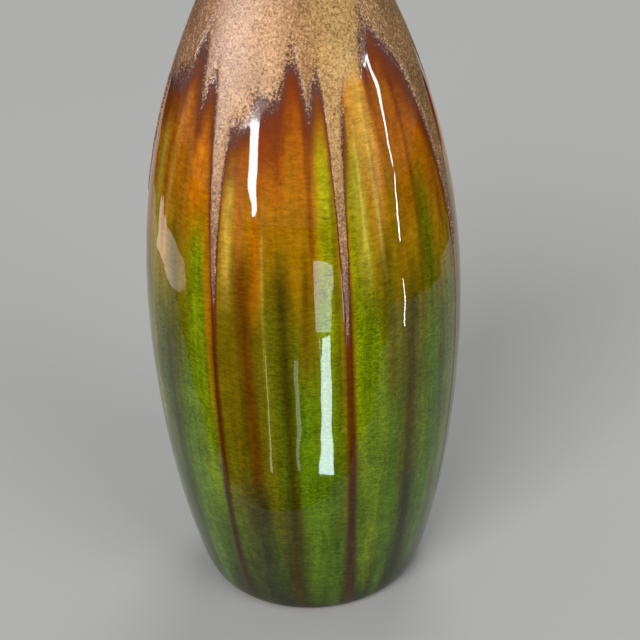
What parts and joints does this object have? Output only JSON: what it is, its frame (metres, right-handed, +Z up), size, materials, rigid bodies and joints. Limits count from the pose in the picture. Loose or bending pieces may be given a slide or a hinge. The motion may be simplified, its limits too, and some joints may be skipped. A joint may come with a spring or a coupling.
{
  "type": "bud vase",
  "caption": "Tall thrown bottle vase with a narrow neck and flared lip, a crackled green coat and a sandy over-glaze that runs down it in long thin lines.",
  "frame": {"origin": "centre of the foot ring's standing face, on the table", "axes": "+Z up the vase's axis; -Y is the front, where the two long runs of over-glaze are"},
  "size_m": [0.0905, 0.0902, 0.24],
  "materials": {
    "bare_clay": "bare fired stoneware, fine sandy grain, matte",
    "crackle_glaze": "glossy transparent amber to green glaze with fine crazing",
    "over_glaze": "glossy speckled sandy tan glaze with plum edges",
    "liner_glaze": "glossy amber olive glaze"
  },
  "bodies": {
    "root": {"clay_body": "bare_clay", "crackle_glaze": "crackle_glaze", "drip_glaze": "over_glaze", "liner_glaze": "liner_glaze", "recess_glaze": "crackle_glaze"}
  },
  "joints": []
}
